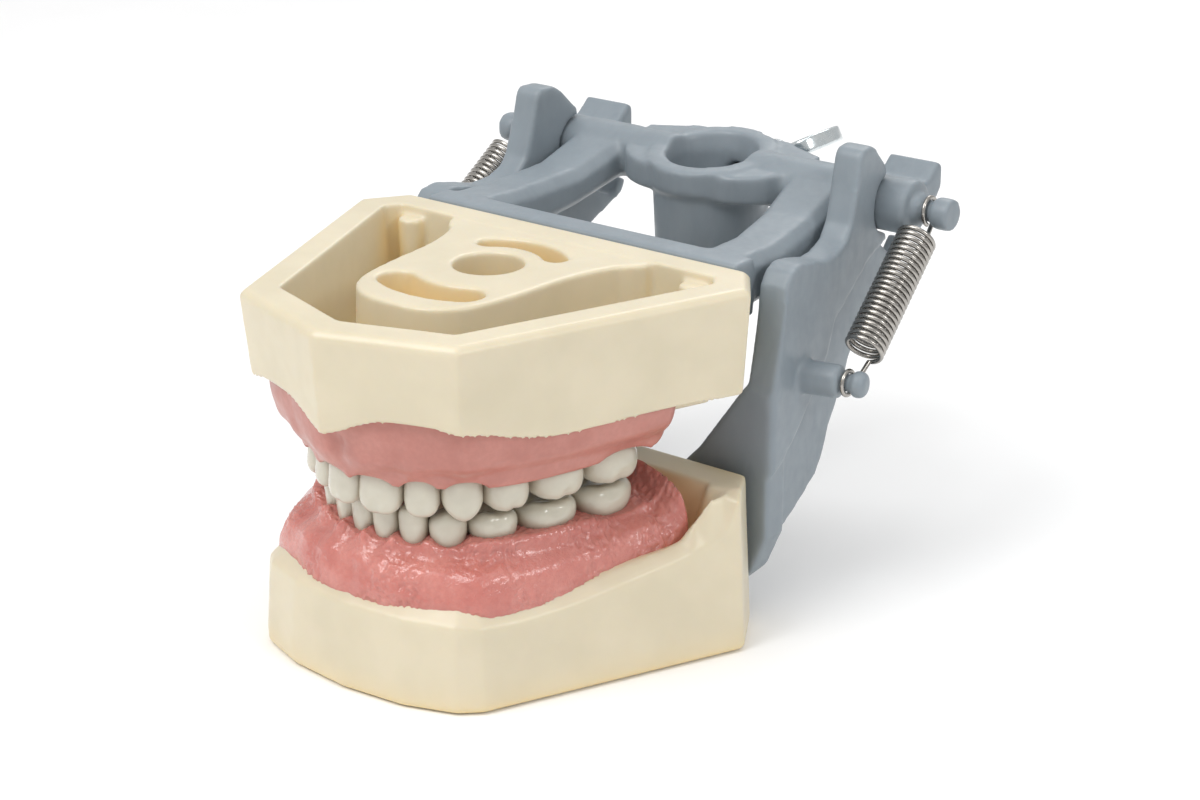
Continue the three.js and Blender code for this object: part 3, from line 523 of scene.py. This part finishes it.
def roughen(points, rings, jaw):
    """Moves the gum's skin in and out by its worm-like stippling and softer swellings."""
    grid = points.reshape(STATIONS, SECTION, 3)
    normal = np.cross(np.gradient(grid, axis=0), np.gradient(grid, axis=1))
    normal /= np.linalg.norm(normal, axis=2)[:, :, None] + 1e-12
    depth = 0.3 if jaw == "lower" else 0.02
    height = np.empty(len(points))
    for i, p in enumerate(points):
        v = Vector(p) / MM
        patch = min(1.0, max(0.15, 0.55 + 2.2 * noise.noise(v * 0.16)))
        bent = v + noise.noise_vector(v * 0.4) * 0.6
        worm = 0.5 - abs(noise.noise(bent * 1.05)) * 2.4
        swell = noise.noise(v * 0.22)
        height[i] = depth * max(-0.5, worm) * patch + (0.14 if jaw == "lower" else 0.08) * swell
    fade = np.ones(SECTION)
    fade[:6] = np.linspace(0, 1, 6)
    fade[-6:] = np.linspace(1, 0, 6)
    height = height.reshape(STATIONS, SECTION) * fade * MM
    sign = np.sign((normal[STATIONS // 2, SECTION // 4] @ np.array([0, -1, 0])))
    return (grid + normal * height[:, :, None] * sign).reshape(-1, 3)


def build_palate(row):
    """Vault of the palate between the two halves of the upper gum, with low ridges behind the incisors."""
    shape = GUM_SHAPE["upper"]
    _, point, out, _, _ = gum_stations("upper", row)
    half = STATIONS // 2
    across = 41
    u = np.linspace(0, 1, across)
    rows = []
    for i in range(4, half - 3, 4):
        place = abs(np.linspace(-shape["reach"], shape["reach"], STATIONS)[i])
        inner = -table(shape["ridge_depth"], place) - 1.5
        a = point[i] + out[i] * inner * MM
        b = a * np.array([-1, 1])
        level = GUM_LINE["upper"] + 2.2 * MM
        vault = 2.4 * MM * (1 - (2 * u - 1) ** 4) * min(1.0, np.linalg.norm(a - b) / (8 * MM))
        ruga = 0.35 * MM * np.maximum(0, np.sin(a[1] / MM * 1.9 + np.abs(2 * u - 1) * 3)) * bell(place - 12, 9)
        ruga *= bell(2 * u - 1, 0.6) * (np.abs(2 * u - 1) > 0.08)
        rows.append(np.column_stack([a[0] + (b[0] - a[0]) * u, np.full(across, a[1]), level + vault - ruga]))
    made = piece("palate", np.vstack(rows), grid_faces(len(rows), across, False), UPPER_GUM, "upper")
    thick = made.modifiers.new("thickness", "SOLIDIFY")
    thick.thickness = 0.8 * MM
    thick.offset = 0
    return made


# ---- Springs and screws -------------------------------------------------------------------------
COIL_TURNS = 23
WIRE = 0.33 * MM
# Necks that the springs hook round, on the left side: middle, and radius of the hook about it.
NECKS = {
    "lower": (Vector((38.58, 7.31, 33.2)) * MM, 1.62 * MM),
    "upper": (Vector((36.25, 30.8, 50.8)) * MM, 1.92 * MM),
}
COIL = {"length": 19.6 * MM, "radius": 2.56 * MM, "middle": 0.515}


def tube(name, path, radius, sides, material, body, replaced):
    """Round wire along a path, closed by a small cap at each end."""
    path = np.array(path)
    tangent = np.gradient(path, axis=0)
    tangent /= np.linalg.norm(tangent, axis=1)[:, None]
    normal = np.cross(tangent[0], [0.3, 0.5, 0.8])
    rings = []
    angle = np.linspace(0, 2 * np.pi, sides, endpoint=False)
    for p, t in zip(path, tangent):
        normal = normal - t * (normal @ t)
        normal /= np.linalg.norm(normal)
        other = np.cross(t, normal)
        rings.append(p + radius * (np.outer(np.cos(angle), normal) + np.outer(np.sin(angle), other)))
    faces = grid_faces(len(rings), sides)
    faces.append(tuple(range(sides)))
    faces.append(tuple(range((len(rings) - 1) * sides, len(rings) * sides)))
    return piece(name, np.vstack(rings), faces, material, body, replaced)


def build_spring(side):
    """Close-wound coil with a round hook at each end, one about each neck."""
    way = 1 if side == "left" else -1
    (low, low_hook), (high, high_hook) = ((np.array((p.x * way, p.y, p.z)), r) for p, r in NECKS.values())
    span = np.linalg.norm(high - low)
    axis = (high - low) / span
    across = np.cross(axis, [1, 0, 0])
    across /= np.linalg.norm(across)
    lateral = np.cross(across, axis)
    start = COIL["middle"] * span - COIL["length"] / 2
    path = [low + low_hook * (axis * math.cos(a) + across * math.sin(a)) for a in np.radians(np.linspace(385, 90, 40))]
    for t in np.linspace(0, 2 * np.pi * COIL_TURNS, COIL_TURNS * 28):
        share = t / (2 * np.pi * COIL_TURNS)
        path.append(low + axis * (start + COIL["length"] * share)
                    + COIL["radius"] * (across * math.cos(t) + lateral * math.sin(t)))
    path += [high + high_hook * (axis * math.sin(a) + across * math.cos(a)) for a in np.radians(np.linspace(0, 295, 40))]
    return tube(f"{side}_extension_spring", path, WIRE, 12, SPRING_STEEL, "lower", [f"{side}_spring"])


def build_screw(node, slot_depth):
    """Round-headed screw with a cross recess in the place of its CAD node."""
    lo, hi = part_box(node)
    corners = np.array([v.co for v in NODES[node].data.vertices])
    size = np.array(hi) - np.array(lo)
    main = int(np.argmax(size))
    middle = (np.array(lo) + np.array(hi)) / 2
    ends = corners[:, main]
    wide = [np.ptp(corners[np.abs(ends - e) < 0.05 * MM][:, (main + 1) % 3]) for e in (ends.min(), ends.max())]
    head_end, way = (ends.min(), 1) if wide[0] > wide[1] else (ends.max(), -1)
    radius = max(wide) / 2
    shank = min(wide) / 2
    length = size[main]
    head = radius * 0.75
    profile = [(0, 0), (radius * 0.62, 0), (radius * 0.86, head * 0.12), (radius * 0.97, head * 0.34),
               (radius, head * 0.6), (radius, head), (shank, head), (shank, length * 0.96), (shank * 0.7, length), (0, length)]
    sides = 40
    rings = []
    for r, z in profile:
        for a in np.linspace(0, 2 * np.pi, sides, endpoint=False):
            p = np.zeros(3)
            p[(main + 1) % 3] = max(r, 0.01 * MM) * math.cos(a)
            p[(main + 2) % 3] = max(r, 0.01 * MM) * math.sin(a)
            p[main] = way * z
            rings.append(p)
    points = np.array(rings)
    offset = middle.copy()
    offset[main] = head_end
    faces = grid_faces(len(profile), sides)
    faces.append(tuple(range(sides)))
    faces.append(tuple(range((len(profile) - 1) * sides, len(profile) * sides)))
    body = frame["nodes"][node]["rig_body"]
    made = piece(f"{node}_steel", points + offset, faces, SCREW_STEEL, body, [node])
    cutters = []
    for k in (0, 1):
        bpy.ops.mesh.primitive_cube_add(size=1)
        bar = bpy.context.object
        scale = [0.26 * radius] * 3
        scale[(main + 1 + k) % 3] = 1.15 * radius
        scale[main] = slot_depth * 2
        bar.scale = scale
        bar.location = offset
        cutters.append(bar)
    for bar in cutters:
        carve = made.modifiers.new("recess", "BOOLEAN")
        carve.operation = "DIFFERENCE"
        carve.object = bar
        carve.solver = "EXACT"
        bpy.context.view_layer.update()
        evaluated = made.evaluated_get(bpy.context.evaluated_depsgraph_get())
        mesh = bpy.data.meshes.new_from_object(evaluated)
        made.modifiers.clear()
        made.data = mesh
        bpy.data.objects.remove(bar)
    return made


# ---- CAD pieces that stay -----------------------------------------------------------------------
def soften(node, voxel, passes, material):
    """Rounds the edges of a CAD node with modifiers: an even remesh, then smoothing."""
    shown = NODES[node]
    shown.data.materials.clear()
    shown.data.materials.append(material)
    remesh = shown.modifiers.new("even", "REMESH")
    remesh.mode = "VOXEL"
    remesh.voxel_size = voxel
    remesh.use_smooth_shade = True
    smooth = shown.modifiers.new("round", "SMOOTH")
    smooth.factor = 0.5
    smooth.iterations = passes
    return shown


def build_stage():
    verts = []
    depth, width, radius = 1.6, 3.0, 0.35
    profile = [(-2.2, 0), (depth, 0)]
    profile += [(depth + radius * math.sin(a), radius * (1 - math.cos(a))) for a in np.linspace(0, np.pi / 2, 16)[1:]]
    profile += [(depth + radius, 2.2)]
    for y, z in profile:
        verts += [(-width, y, z - 0.0001), (width, y, z - 0.0001)]
    faces = [(2 * i, 2 * i + 1, 2 * i + 3, 2 * i + 2) for i in range(len(profile) - 1)]
    mesh = bpy.data.meshes.new("floor")
    mesh.from_pydata(verts, [], faces)
    mesh.shade_smooth()
    mesh.materials.append(floor_paint())
    floor = bpy.data.objects.new("floor", mesh)
    floor.rotation_euler.z = AZIMUTH
    bpy.context.scene.collection.objects.link(floor)


def area_light(name, azimuth, elevation, distance, size, power, tint=(1, 1, 1)):
    light = bpy.data.lights.new(name, "AREA")
    light.shape = "DISK"
    light.size = size
    light.energy = power
    light.color = tint
    lamp = bpy.data.objects.new(name, light)
    a, e = math.radians(azimuth), math.radians(elevation)
    back = Vector((math.sin(a) * math.cos(e), -math.cos(a) * math.cos(e), math.sin(e)))
    lamp.location = Vector((0, 0, 0.03)) + back * distance
    lamp.rotation_euler = (-back).to_track_quat("-Z", "Y").to_euler()
    bpy.context.scene.collection.objects.link(lamp)


def build_lights():
    world = bpy.data.worlds.new("studio")
    world.use_nodes = True
    world.node_tree.nodes["Background"].inputs["Color"].default_value = (1, 1, 1, 1)
    world.node_tree.nodes["Background"].inputs["Strength"].default_value = 0.62
    bpy.context.scene.world = world
    area_light("key", -18, 52, 0.7, 0.42, 2.3)
    area_light("fill", 84, 34, 0.8, 0.22, 1.1)
    area_light("top", 30, 84, 0.75, 0.6, 1.2)
    area_light("rim", 200, 40, 0.8, 0.4, 1.0)
    bpy.context.scene.view_settings.view_transform = "Standard"


def build_camera():
    back = Vector((math.sin(AZIMUTH) * math.cos(ELEVATION), -math.cos(AZIMUTH) * math.cos(ELEVATION),
                   math.sin(ELEVATION)))
    right = Vector((math.cos(AZIMUTH), math.sin(AZIMUTH), 0))
    up = back.cross(right)
    turned_right = right * math.cos(ROLL) + up * math.sin(ROLL)
    turned_up = up * math.cos(ROLL) - right * math.sin(ROLL)
    data = bpy.data.cameras.new("camera")
    data.lens = LENS
    data.sensor_width = 36
    data.clip_start = 0.01
    camera = bpy.data.objects.new("camera", data)
    camera.matrix_world = Matrix.Translation(EYE) @ Matrix((turned_right, turned_up, back)).transposed().to_4x4()
    bpy.context.scene.collection.objects.link(camera)
    bpy.context.scene.camera = camera


build_camera()
build_lights()
build_stage()

soften("upper_base", 0.3 * MM, 12, IVORY)
soften("lower_base", 0.3 * MM, 16, IVORY)
soften("upper_frame", 0.32 * MM, 18, GREY)
soften("lower_frame", 0.32 * MM, 18, GREY)
soften("wing_screw", 0.16 * MM, 60, ZINC)

for jaw in JAWS:
    row = tooth_row(jaw)
    for tooth in row:
        build_tooth(tooth, jaw)
        build_screw(f"{tooth['name']}_screw", 0.5 * MM)
    build_gum(jaw, row, UPPER_GUM if jaw == "upper" else LOWER_GUM)
    if jaw == "upper":
        build_palate(row)
    build_screw(f"{jaw}_mount_screw", 0.9 * MM)

for side in SIDES:
    build_spring(side)
